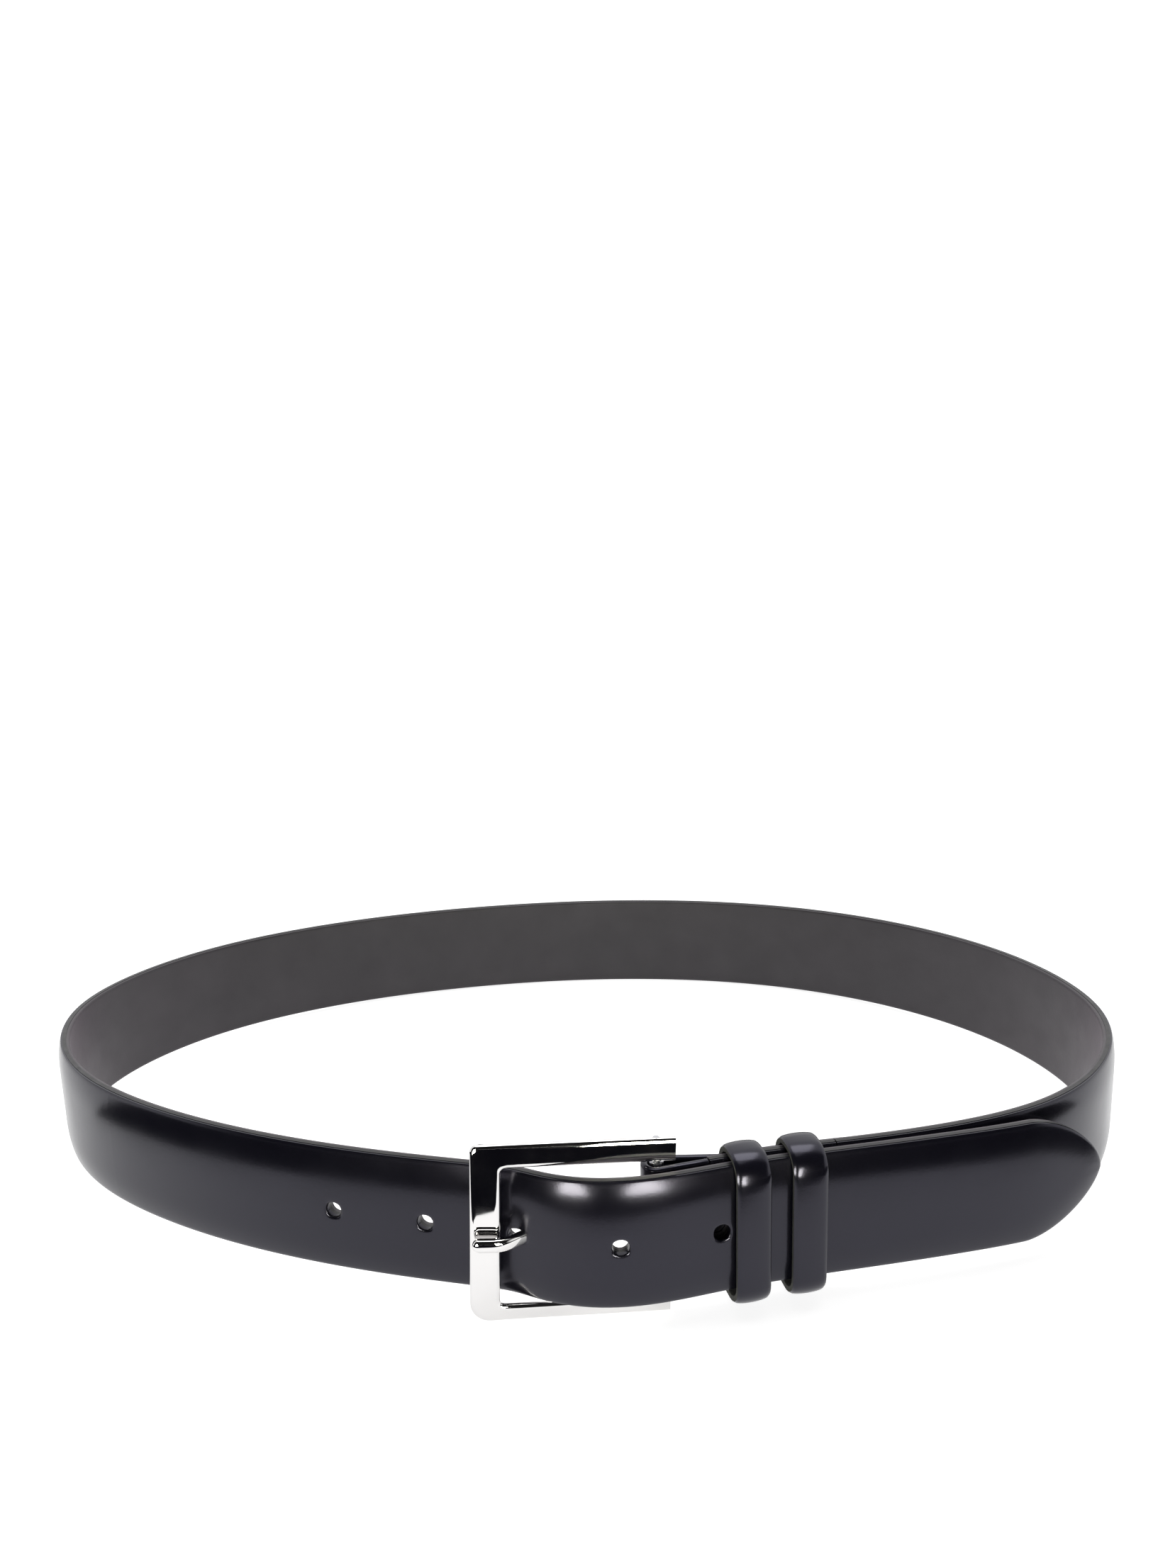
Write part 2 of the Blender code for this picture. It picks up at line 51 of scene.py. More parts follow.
# The belt's own frame, as in the CAD model: the width runs up from z = 0, and STANCE tips it.
STANCE_TIP = math.atan2(-7.1, 205.2)
STANCE_LIFT = 3.76 * MM
STANCE = Matrix.Translation((0, 0, STANCE_LIFT)) @ Matrix.Rotation(STANCE_TIP, 4, "X")
CENTRE = (19.6 * MM, 0.1 * MM)
LEFT_REACH, RIGHT_REACH, RIGHT_SAG = 189.0 * MM, 149.7 * MM, 4.0 * MM
BACK_REACH, FRONT_REACH = 107.8 * MM, 100.2 * MM
BILLET_POINTS = ((-52.5, -97.2), (-37.0, -100.0), (-30.0, -101.6), (-21.5, -105.0), (-8.0, -107.7),
                 (6.0, -106.2), (26.0, -100.0), (45.0, -94.7), (65.0, -89.9), (88.0, -84.1),
                 (110.0, -77.3), (128.0, -69.4))
BUCKLE_END_POINTS = ((7.4, -101.8), (26.0, -95.8), (45.0, -90.6), (65.0, -85.9), (80.0, -81.8),
                     (96.0, -76.2), (114.5, -66.6))
ARC_START, ARC_END, ARC_STEP = -24, 246, 22.5
HEEL_AXIS = (7.4 * MM, -98.7 * MM)
SIDE_HINGE_ANGLE = 2.6

# Strap section, measured outward from its mid-line and up from its lower edge.
WIDTH = 35.0 * MM
MIDDLE = WIDTH / 2
LINING_INNER, LINING_OUTER = -1.9 * MM, -0.85 * MM
CORE_OUTER = 0.25 * MM
FACE_OUTER = 1.95 * MM
FACE_EDGE = 0.35 * MM       # thickness of the face leather where it meets the painted edge
DOME = 9.5 * MM             # how far in from each edge the face curves
TIP_LENGTH, TIP_POWER = 24.0 * MM, 1.6
STEP = 2.0 * MM             # stations along the strap
TIP_STATIONS, TIP_CROWDING, TIP_BLUNT = 44, 1.7, 0.0012
DOME_TIGHT = 1.2 * MM       # the tight turn at the face's very edge
STRAP_JOIN = 54.0 * MM
FOLD_START = 18.0 * MM
FLAP_START, FLAP_END = 22.0 * MM, 57.3 * MM
FOLD_THICK = 2.0 * MM
FLAP_TRIM = 1.2 * MM        # the turned-back end is this much narrower at each edge
TRIM_STEPS = 4              # sections over which it narrows
SKIVE, SKIVE_LENGTH = 0.35, 8.0 * MM    # it thins by this share towards its end
FOLD_ROUND = 0.9 * MM
FOLD_SLOT_DEPTH = 24.0 * MM
STITCH_PITCH, STITCH_LENGTH, STITCH_RADIUS = 3.4 * MM, 2.6 * MM, 0.32 * MM
STITCHES_PER_ROW, FIRST_STITCH = 9, 4.0 * MM
STITCHES_FROM_END = 3.0 * MM
FOLD_SLOT, FOLD_SLOT_REACH = 6.4 * MM, 8.0 * MM
CLEARANCE = 0.3 * MM

HOLE_COUNT, HOLE_USED, HOLE_PITCH = 5, 3, 25.8 * MM
USED_HOLE_AT = (-27.1 * MM, -103.4 * MM)
HOLE_RADIUS = 2.2 * MM
HOLE_PATCH = 5.0 * MM       # half-side of the square of mesh that holds one hole
SLOT_PATCH = 8.6 * MM       # the used hole's patch reaches this far towards the heel bar

# The keepers sit about 1.5 mm nearer the buckle than in the CAD model, with 0.9 mm less room above.
KEEPER_PLACES = (28.0 * MM, 44.0 * MM)
KEEPER_WIDTH, KEEPER_THICK = 9.0 * MM, 2.0 * MM
KEEPER_ROOM_ABOVE, KEEPER_ROOM_BELOW, KEEPER_FRONT_ROOM = 0.4 * MM, 2.6 * MM, 0.5 * MM
BETWEEN_KEEPERS = 36.0 * MM
KEEPER_CORNER, KEEPER_LOW_BACK_CORNER = 4.5 * MM, 2.5 * MM
KEEPER_DENSITY = 2.5 * MM   # greatest distance between its sections
KEEPER_EDGE, KEEPER_CROWN, KEEPER_CROWN_POWER = 0.72, 0.43, 2.1     # shares of its thickness
STRAP_THICK, LAYER_STEP = 3.8 * MM, 4.1 * MM

FRAME_LEAN = math.radians(9.4)
FRAME_ROLL = math.radians(2.5)
FRAME_HEIGHT, FRAME_LENGTH, FRAME_THICK = 49.0 * MM, 51.4 * MM, 3.4 * MM
FRONT_BAR, ARM_HEIGHT, ARM_BEYOND_AXIS = 7.6 * MM, 4.3 * MM, 3.8 * MM
CROWN, EDGE_ROUND, BACK_BEVEL = 0.8 * MM, 1.3 * MM, 1.5 * MM
TOP_ARM = 6.4 * MM          # the upper arm is broader than the lower one
LOW_CORNER, TOP_CORNER, INNER_CORNER = 5.2 * MM, 2.0 * MM, 1.6 * MM
BRINK_DEPTH = 0.4 * MM      # straight part of the frame's edge, behind its rounding
HEEL_RADIUS, TENON_RADIUS = 1.8 * MM, 1.0 * MM
PRONG_POINTS = ((4.4, -99.7), (-6.0, -100.9), (-14.5, -101.3), (-21.0, -101.6), (-26.5, -104.9),
                (-31.3, -109.0), (-34.8, -109.9), (-38.3, -110.5))
PRONG_RISE, PRONG_RISE_LENGTH = 1.2 * MM, 13.0 * MM
PRONG_WIDTH, PRONG_THICK = 3.5 * MM, 2.4 * MM
PRONG_EYE_WIDTH, PRONG_EYE_WALL = 5.0 * MM, 1.7 * MM
PRONG_TIP = 1.9 * MM
PRONG_SECTIONS, PRONG_CROWDING, PRONG_FULLNESS = 60, 1.5, 0.8


# ---------------------------------------------------------------- plan curves

class Path:
    """A smooth plan curve through a few points, measured by its own length."""

    def __init__(self, points, samples=8000):
        knots = np.array(points)
        at_knot = np.r_[0, np.cumsum(np.hypot(*np.diff(knots, axis=0).T))]
        span = np.diff(at_knot)
        count = len(knots)
        system = np.eye(count)
        target = np.zeros((count, 2))
        for i in range(1, count - 1):
            system[i, i - 1:i + 2] = span[i - 1], 2 * (span[i - 1] + span[i]), span[i]
            rise = (knots[i + 1] - knots[i]) / span[i] - (knots[i] - knots[i - 1]) / span[i - 1]
            target[i] = 6 * rise
        bend = np.linalg.solve(system, target)
        t = np.linspace(0, at_knot[-1], samples)
        k = np.clip(np.searchsorted(at_knot, t) - 1, 0, count - 2)
        h = span[k][:, None]
        back = (at_knot[k + 1] - t)[:, None]
        ahead = (t - at_knot[k])[:, None]
        self.xy = (bend[k] * back ** 3 + bend[k + 1] * ahead ** 3) / (6 * h)
        self.xy += (knots[k] / h - bend[k] * h / 6) * back
        self.xy += (knots[k + 1] / h - bend[k + 1] * h / 6) * ahead
        self.s = np.r_[0, np.cumsum(np.hypot(*np.diff(self.xy, axis=0).T))]
        self.length = self.s[-1]
        tangent = np.gradient(self.xy, self.s, axis=0)
        self.tangent = tangent / np.hypot(*tangent.T)[:, None]

    def direction(self, s):
        x, y = (np.interp(s, self.s, self.tangent[:, i]) for i in (0, 1))
        return Vector((x, y, 0)).normalized()

    def outward(self, s):
        along = self.direction(s)
        return Vector((along.y, -along.x, 0))

    def point(self, s, out=0.0, z=0.0):
        x, y = (np.interp(s, self.s, self.xy[:, i]) for i in (0, 1))
        return Vector((x, y, z)) + self.outward(s) * out

    def nearest(self, x, y, after=0.0, before=math.inf):
        distance = np.hypot(self.xy[:, 0] - x, self.xy[:, 1] - y)
        distance[(self.s < after) | (self.s > before)] = 1e9
        return float(self.s[np.argmin(distance)])


def from_centre(x, y):
    return CENTRE[0] + x, CENTRE[1] + y


def loop_point(degrees):
    c, s = math.cos(math.radians(degrees)), math.sin(math.radians(degrees))
    across = RIGHT_REACH if c > 0 else LEFT_REACH
    deep = BACK_REACH if s > 0 else FRONT_REACH
    return from_centre(across * c, deep * s - RIGHT_SAG * max(c, 0) ** 2)


def strap_points():
    points = [from_centre(x * MM, y * MM) for x, y in BUCKLE_END_POINTS]
    points += [loop_point(a) for a in np.arange(ARC_START, ARC_END, ARC_STEP)]
    points += [from_centre(x * MM, y * MM) for x, y in BILLET_POINTS]
    return points


STRAP = Path(strap_points())
HALF_LOOP = STRAP.length / 2
HEEL = from_centre(*HEEL_AXIS)
HEEL_SPOT = Vector((HEEL[0], HEEL[1], 0))
RIGHT_HINGE = loop_point(SIDE_HINGE_ANGLE)
LEFT_HINGE = loop_point(180 - SIDE_HINGE_ANGLE)
BACK_HINGE = tuple(RIGHT_HINGE[i] + LEFT_HINGE[i] - HEEL[i] for i in (0, 1))
OVER_HEEL = STRAP.nearest(*HEEL, after=HALF_LOOP)
HOLE_THREE = STRAP.nearest(*from_centre(*USED_HOLE_AT), after=HALF_LOOP)
HOLES = [HOLE_THREE + (n - HOLE_USED) * HOLE_PITCH for n in range(1, HOLE_COUNT + 1)]


def buckle_end_at(across):
    return STRAP.nearest(*from_centre(across, -90 * MM), before=HALF_LOOP)


# ---------------------------------------------------------------- mesh helpers

def new_object(name, mesh, materials, smooth_below=40):
    """Links a mesh that was drawn in the belt's frame, placed by the stance."""
    for material in materials:
        mesh.materials.append(material)
    mesh.shade_smooth()
    mesh.set_sharp_from_angle(angle=math.radians(smooth_below))
    obj = bpy.data.objects.new(name, mesh)
    bpy.context.scene.collection.objects.link(obj)
    obj.matrix_world = STANCE
    return obj


def mesh_from(bm, name):
    bmesh.ops.recalc_face_normals(bm, faces=bm.faces)
    mesh = bpy.data.meshes.new(name)
    bm.to_mesh(mesh)
    bm.free()
    return mesh


def loft(rings, closed_path=False, slots=None):
    """A closed mesh through rings of points; slots gives the material of each strip round the ring."""
    bm = bmesh.new()
    grid = [[bm.verts.new(p) for p in ring] for ring in rings]
    count = len(grid[0])
    pairs = list(zip(grid, grid[1:]))
    if closed_path:
        pairs.append((grid[-1], grid[0]))
    for ring, following in pairs:
        for k in range(count):
            j = (k + 1) % count
            face = bm.faces.new((ring[k], following[k], following[j], ring[j]))
            if slots:
                face.material_index = slots[k]
    if not closed_path:
        bm.faces.new(grid[0])
        bm.faces.new(list(reversed(grid[-1])))
    return bm


def apply_modifiers(obj):
    graph = bpy.context.evaluated_depsgraph_get()
    mesh = bpy.data.meshes.new_from_object(obj.evaluated_get(graph))
    obj.modifiers.clear()
    obj.data = mesh


def add_bevel(obj, width, segments=3, degrees=35):
    modifier = obj.modifiers.new("edges", "BEVEL")
    modifier.width = width
    modifier.segments = segments
    modifier.limit_method = "ANGLE"
    modifier.angle_limit = math.radians(degrees)
    modifier.harden_normals = False


def cut(obj, mesh, operation="DIFFERENCE"):
    """Cuts, or joins, a mesh that was drawn in the belt's frame."""
    tool = bpy.data.objects.new("tool", mesh)
    bpy.context.scene.collection.objects.link(tool)
    tool.matrix_world = STANCE
    modifier = obj.modifiers.new("cut", "BOOLEAN")
    modifier.object = tool
    modifier.operation = operation
    modifier.solver = "EXACT"
    bpy.context.view_layer.update()
    apply_modifiers(obj)
    bpy.data.objects.remove(tool)


def smooth(obj, degrees=40):
    obj.data.shade_smooth()
    obj.data.set_sharp_from_angle(angle=math.radians(degrees))


def frame_of(along, outward, spot):
    columns = (along, -outward, Vector((0, 0, 1)))
    matrix = Matrix([[c[i] for c in columns] for i in range(3)]).to_4x4()
    return Matrix.Translation(spot) @ matrix


# ---------------------------------------------------------------- materials

class Nodes:
    """Short names for building a node tree round one Principled shader."""

    def __init__(self, name, colour, roughness, metallic=0.0):
        self.material = bpy.data.materials.new(name)
        self.material.use_nodes = True
        self.tree = self.material.node_tree
        self.shader = self.tree.nodes["Principled BSDF"]
        self.set("Base Color", (*colour, 1))
        self.set("Roughness", roughness)
        self.set("Metallic", metallic)
        self.position = self.tree.nodes.new("ShaderNodeTexCoord").outputs["Object"]

    def set(self, socket, value):
        self.shader.inputs[socket].default_value = value

    def link(self, output, socket):
        self.tree.links.new(output, self.shader.inputs[socket])

    def noise(self, scale, detail=3.0, roughness=0.55, stretch=None):
        node = self.tree.nodes.new("ShaderNodeTexNoise")
        node.inputs["Scale"].default_value = scale
        node.inputs["Detail"].default_value = detail
        node.inputs["Roughness"].default_value = roughness
        self.tree.links.new(self.stretched(stretch), node.inputs["Vector"])
        return node.outputs["Fac"]

    def cells(self, scale, smoothness=0.6):
        node = self.tree.nodes.new("ShaderNodeTexVoronoi")
        node.feature = "SMOOTH_F1"
        node.inputs["Scale"].default_value = scale
        node.inputs["Smoothness"].default_value = smoothness
        self.tree.links.new(self.position, node.inputs["Vector"])
        return node.outputs["Distance"]

    def stretched(self, stretch):
        if stretch is None:
            return self.position
        node = self.tree.nodes.new("ShaderNodeMapping")
        node.inputs["Scale"].default_value = stretch
        self.tree.links.new(self.position, node.inputs["Vector"])
        return node.outputs["Vector"]

    def ramp(self, value, low, high, start=0.3, end=0.7):
        """Maps a value onto a range of numbers."""
        node = self.tree.nodes.new("ShaderNodeMapRange")
        node.inputs["From Min"].default_value = start
        node.inputs["From Max"].default_value = end
        node.inputs["To Min"].default_value = low
        node.inputs["To Max"].default_value = high
        self.tree.links.new(value, node.inputs["Value"])
        return node.outputs["Result"]

    def blend(self, value, first, second):
        node = self.tree.nodes.new("ShaderNodeMix")
        node.data_type = "RGBA"
        self.tree.links.new(value, node.inputs["Factor"])
        node.inputs["A"].default_value = (*first, 1)
        node.inputs["B"].default_value = (*second, 1)
        return node.outputs["Result"]

    def bump(self, heights):
        """Stacks bumps, each (height output, depth in metres, strength)."""
        normal = None
        for height, depth, strength in heights:
            node = self.tree.nodes.new("ShaderNodeBump")
            node.inputs["Strength"].default_value = strength
            node.inputs["Distance"].default_value = depth
            self.tree.links.new(height, node.inputs["Height"])
            if normal:
                self.tree.links.new(normal, node.inputs["Normal"])
            normal = node.outputs["Normal"]
        self.link(normal, "Normal")


def face_leather():
    """Brushed-off calf: near-black navy, polished, with a fine grain that shows in its highlights."""
    m = Nodes("polished_leather", (0.007, 0.007, 0.011), 0.2)
    tone = m.ramp(m.noise(26, 3), 0.0, 1.0)
    m.link(m.blend(tone, (0.0055, 0.0053, 0.0092), (0.0080, 0.0077, 0.0130)), "Base Color")
    m.link(m.ramp(m.noise(60, 4), 0.17, 0.23), "Roughness")
    m.set("Specular IOR Level", 0.44)
    m.set("Specular Tint", (0.84, 0.82, 1.0, 1))
    m.bump([(m.noise(900, 3, 0.5), 0.00003, 0.25), (m.cells(2300), 0.00002, 0.22),
            (m.noise(150, 2), 0.00006, 0.10)])
    return m.material


def edge_paint():
    """Edge paint: smooth, black, slightly uneven."""
    m = Nodes("edge_paint", (0.008, 0.008, 0.010), 0.3)
    tone = m.ramp(m.noise(180, 3), 0.0, 1.0)
    m.link(m.blend(tone, (0.005, 0.005, 0.007), (0.012, 0.011, 0.012)), "Base Color")
    m.link(m.ramp(m.noise(300, 3), 0.28, 0.42), "Roughness")
    m.set("Specular IOR Level", 0.4)
    m.bump([(m.noise(700, 3), 0.00008, 0.30)])
    return m.material


def raw_edge():
    """Cut edge of the keepers: dark, fibrous leather."""
    m = Nodes("raw_leather_edge", (0.016, 0.018, 0.013), 0.85)
    fibres = m.noise(1500, 5, 0.7, (1.0, 1.0, 0.35))
    tone = m.ramp(fibres, 0.0, 1.0)
    m.link(m.blend(tone, (0.006, 0.007, 0.005), (0.045, 0.046, 0.034)), "Base Color")
    m.bump([(fibres, 0.00025, 0.8)])
    return m.material


def lining_leather():
    """Lining: smooth, matt, charcoal with a faint plum cast."""
    m = Nodes("lining_leather", (0.032, 0.027, 0.032), 0.5)
    tone = m.ramp(m.noise(35, 4), 0.0, 1.0)
    m.link(m.blend(tone, (0.026, 0.022, 0.027), (0.036, 0.030, 0.036)), "Base Color")
    m.link(m.ramp(m.noise(90, 3), 0.42, 0.54), "Roughness")
    m.set("Sheen Weight", 0.15)
    m.set("Sheen Tint", (1.0, 0.88, 0.96, 1))
    m.bump([(m.cells(1500), 0.00004, 0.22), (m.noise(500, 3), 0.00004, 0.20)])
    return m.material


def chrome():
    """Mirror chrome over brass: a faint polish swirl and hairline scratches."""
    m = Nodes("chrome", (0.74, 0.73, 0.725), 0.04, 1.0)
    m.link(m.ramp(m.noise(120, 4), 0.025, 0.07), "Roughness")
    m.bump([(m.noise(700, 4, 0.6, (0.15, 1.0, 1.0)), 0.000008, 0.10), (m.noise(60, 2), 0.00003, 0.06)])
    return m.material


def bright_steel():
    m = Nodes("bright_steel", (0.50, 0.50, 0.52), 0.28, 1.0)
    m.link(m.ramp(m.noise(400, 3, 0.6, (1.0, 1.0, 0.1)), 0.22, 0.38), "Roughness")
    m.bump([(m.noise(2500, 3, 0.6, (1.0, 1.0, 0.05)), 0.00001, 0.25)])
    return m.material


def thread():
    m = Nodes("waxed_thread", (0.020, 0.019, 0.022), 0.55)
    m.bump([(m.noise(3000, 3), 0.00005, 0.5)])
    return m.material


LEATHER = face_leather()
PAINT = edge_paint()
RAW = raw_edge()
LINING = lining_leather()
CHROME = chrome()
STEEL = bright_steel()
THREAD = thread()


# ---------------------------------------------------------------- strap

def half_width(s):
    left = (STRAP.length - s) / TIP_LENGTH
    if left >= 1:
        return MIDDLE
    return MIDDLE * max(1 - (1 - max(left, 0)) ** TIP_POWER, 0) ** (1 / TIP_POWER)


def edge_distance(s, z):
    """Distance in the strap's own plane from a point to its nearest edge."""
    slope = (half_width(s - 0.1 * MM) - half_width(s + 0.1 * MM)) / (0.2 * MM)
    across = (half_width(s) - abs(z)) / math.hypot(1, slope)
    return max(0.0, min(across, STRAP.length - s))


def dome(distance, width):
    """Rises from 0 at the edge to 1 where the surface is flat."""
    if distance >= width:
        return 1.0
    return math.sqrt(max(0.0, 1 - (1 - distance / width) ** 2))


def soft_dome(distance):
    """The face's padded profile: a tight turn at the edge, then a long shallow crown."""
    tight = dome(distance, DOME_TIGHT)
    t = min(distance / DOME, 1.0)
    return 0.2 * tight + 0.8 * (1 - (1 - t) ** 2.5)


LAYERS = {
    "face": {
        "inner": lambda s, z: CORE_OUTER,
        "outer": lambda s, z: CORE_OUTER + FACE_EDGE
        + (FACE_OUTER - CORE_OUTER - FACE_EDGE) * soft_dome(edge_distance(s, z)),
        "inset": 0.12 * MM, "hole": HOLE_RADIUS, "material": LEATHER, "slot": "face_leather"},
    "core": {
        "inner": lambda s, z: LINING_OUTER,
        "outer": lambda s, z: CORE_OUTER,
        "inset": 0.0, "hole": HOLE_RADIUS + 0.05 * MM, "material": PAINT, "slot": "filler"},
    "lining": {
        "inner": lambda s, z: LINING_OUTER + (LINING_INNER - LINING_OUTER)
        * (0.35 + 0.65 * dome(edge_distance(s, z), 1.0 * MM)),
        "outer": lambda s, z: LINING_OUTER,
        "inset": 0.15 * MM, "hole": HOLE_RADIUS + 0.1 * MM, "material": LINING,
        "slot": "lining_leather"},
}
EDGE_ROWS = np.array((0.0, 0.15, 0.4, 0.8, 1.3, 2.0, 3.0, 4.2, 5.6, 7.2, 9.2, 11.0)) * MM
HOLE_ROWS = np.array((0.0, 1.7, 3.4, 5.0)) * MM
# Rings between a patch's border and its hole: (share of the way back to the border, how deep it dips).
RIM_PLAIN = ((0.5, 0.0), (0.0, 0.0))
RIM_ROUNDED = ((0.6, 0.0), (0.25, 0.0), (0.13, 0.03 * MM), (0.05, 0.12 * MM), (0.015, 0.28 * MM),
               (0.0, 0.5 * MM))


def patch_end(s):
    return s + (SLOT_PATCH if abs(s - HOLE_THREE) < 1e-6 else HOLE_PATCH)


def stations(start, end):
    """Places along the strap: even steps, closer at the tip, with one pair round each hole."""
    marks = [start, end]
    for s in HOLES:
        if start < s < end:
            marks += [s - HOLE_PATCH, patch_end(s)]
    tip = STRAP.length - TIP_LENGTH
    if end > tip:
        marks.append(tip)
    marks = sorted(marks)
    places = [marks[0]]
    for a, b in zip(marks, marks[1:]):
        if a >= tip - 1e-9:
            crowd = np.linspace(1, TIP_BLUNT, TIP_STATIONS)[1:] ** TIP_CROWDING
            places += list(STRAP.length - TIP_LENGTH * crowd)
        else:
            steps = max(1, round((b - a) / STEP))
            places += list(np.linspace(a, b, steps + 1)[1:])
    return places


def rows_at(s, inset):
    """Heights across the strap at one station, from the lower edge to the upper."""
    half = max(half_width(s) - inset, 0.02 * MM)
    upper = [max(half - e * min(1.0, half / MIDDLE), 0) for e in EDGE_ROWS]
    upper += [h * half / MIDDLE for h in HOLE_ROWS[::-1]]
    return [-z for z in upper] + upper[::-1][1:]


def strap_span(layer_name, start, end):
    """One layer between two lengths along the strap, with its holes, as a closed mesh."""
    layer = LAYERS[layer_name]
    places = stations(start, end)
    bm = bmesh.new()
    sides = []
    for side in ("inner", "outer"):
        grid = []
        for s in places:
            heights = rows_at(s, layer["inset"])
            grid.append([bm.verts.new(STRAP.point(s, layer[side](s, z), MIDDLE + z)) for z in heights])
        sides.append(grid)
    rows = len(sides[0][0])
    centre = rows // 2
    reach = len(HOLE_ROWS) - 1
    low, high = centre - reach, centre + reach
    patches = []
    for s in HOLES:
        inside = [i for i, place in enumerate(places)
                  if s - HOLE_PATCH - 1e-7 <= place <= patch_end(s) + 1e-7]
        if len(inside) > 1 and start < s < end:
            patches.append((s, inside[0], inside[-1]))

    def in_patch(i, k):
        return any(first <= i < last and low <= k < high for _, first, last in patches)

    for grid in sides:
        for i in range(len(places) - 1):
            for k in range(rows - 1):
                if not in_patch(i, k):
                    bm.faces.new((grid[i][k], grid[i + 1][k], grid[i + 1][k + 1], grid[i][k + 1]))
    inner, outer = sides
    for i in range(len(places) - 1):
        for k in (0, rows - 1):
            bm.faces.new((inner[i][k], inner[i + 1][k], outer[i + 1][k], outer[i][k]))
    for i in (0, len(places) - 1):
        for k in range(rows - 1):
            bm.faces.new((inner[i][k], inner[i][k + 1], outer[i][k + 1], outer[i][k]))
    for s, first, last in patches:
        add_hole(bm, layer, s, [[(grid, i, k) for i, k in ring_of(first, last, low, high)]
                                for grid in sides], places)
    return mesh_from(bm, layer_name)


def ring_of(first, last, low, high):
    """Grid places round the edge of a patch, in order."""
    ring = [(i, low) for i in range(first, last)]
    ring += [(last, k) for k in range(low, high)]
    ring += [(i, high) for i in range(last, first, -1)]
    ring += [(first, k) for k in range(high, low, -1)]
    return ring


def add_hole(bm, layer, s_hole, borders, places):
    """Fills both sides of a patch with rings that close in on the hole, then lines the hole."""
    radius = layer["hole"]
    used = abs(s_hole - HOLE_THREE) < 1e-6
    rims = []
    for side, border in zip(("inner", "outer"), borders):
        verts = [grid[i][k] for grid, i, k in border]
        flat = [(places[i] - s_hole, vert.co.z - MIDDLE) for (grid, i, k), vert in zip(border, verts)]
        ring = verts
        lip = side == "outer" and layer is LAYERS["face"]
        steps = RIM_ROUNDED if lip else RIM_PLAIN
        for share, drop in steps:
            following = []
            for x, z in flat:
                angle = math.atan2(z, x)
                rx, rz = hole_shape(radius * math.cos(angle), radius * math.sin(angle), used, layer)
                px, pz = rx + (x - rx) * share, rz + (z - rz) * share
                out = layer[side](s_hole + px, pz) - drop
                following.append(bm.verts.new(STRAP.point(s_hole + px, out, MIDDLE + pz)))
            for a in range(len(ring)):
                b = (a + 1) % len(ring)
                bm.faces.new((ring[a], ring[b], following[b], following[a]))
            ring = following
        rims.append(ring)
    inner, outer = rims
    for a in range(len(inner)):
        b = (a + 1) % len(inner)
        bm.faces.new((inner[a], inner[b], outer[b], outer[a]))


def hole_shape(x, z, used, layer):
    """The used hole is drawn out: a little in the face, and to a slot in the layers below."""
    if not used:
        return x, z
    if layer is LAYERS["face"]:
        return (x * 1.5, z * 0.85) if x < 0 else (x * 0.9, z * 0.85)
    r = math.hypot(x, z)
    x, z = (math.copysign(abs(v / r) ** 0.6, v) * r for v in (x, z))
    return (x * 1.75, z) if x < 0 else (x * 3.1, z)


def make_strap():
    """Strap pieces meet in the middle of the rigid lengths; each piece after the fold side spans one
    hinge.
    """
    join = buckle_end_at(STRAP_JOIN)
    right, back, left = (STRAP.nearest(*spot) for spot in (RIGHT_HINGE, BACK_HINGE, LEFT_HINGE))
    middles = [(a + b) / 2 for a, b in ((right, back), (back, left), (left, HOLES[0]))]
    spans = (
        ("fold_side", buckle_end_at(FOLD_START) + CLEARANCE, join - CLEARANCE, ("fold_side",), None),
        ("right_side", join, middles[0], ("right_side", "rear_right"),
         ("right_side", "rear_right", right)),
        ("back", middles[0], middles[1], ("rear_middle", "rear_left"),
         ("rear_right", "rear_left", back)),
        ("left_side", middles[1], middles[2], ("left_side",), ("rear_left", "buckle", left)),
        ("billet", middles[2], STRAP.length, ("front_left", "tail"),
         ("buckle", "fold_end", OVER_HEEL)))
    for name, start, end, nodes, hinge in spans:
        for layer_name, layer in LAYERS.items():
            mesh = strap_span(layer_name, start, end)
            piece = new_object(f"strap_{layer_name}_{name}", mesh, [layer["material"]], 50)
            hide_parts(*(f"{layer_name}_{node}" for node in nodes))
            if hinge is None:
                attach(piece, "fold_end")
                continue
            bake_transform(piece)


# ---------------------------------------------------------------- fold and keepers

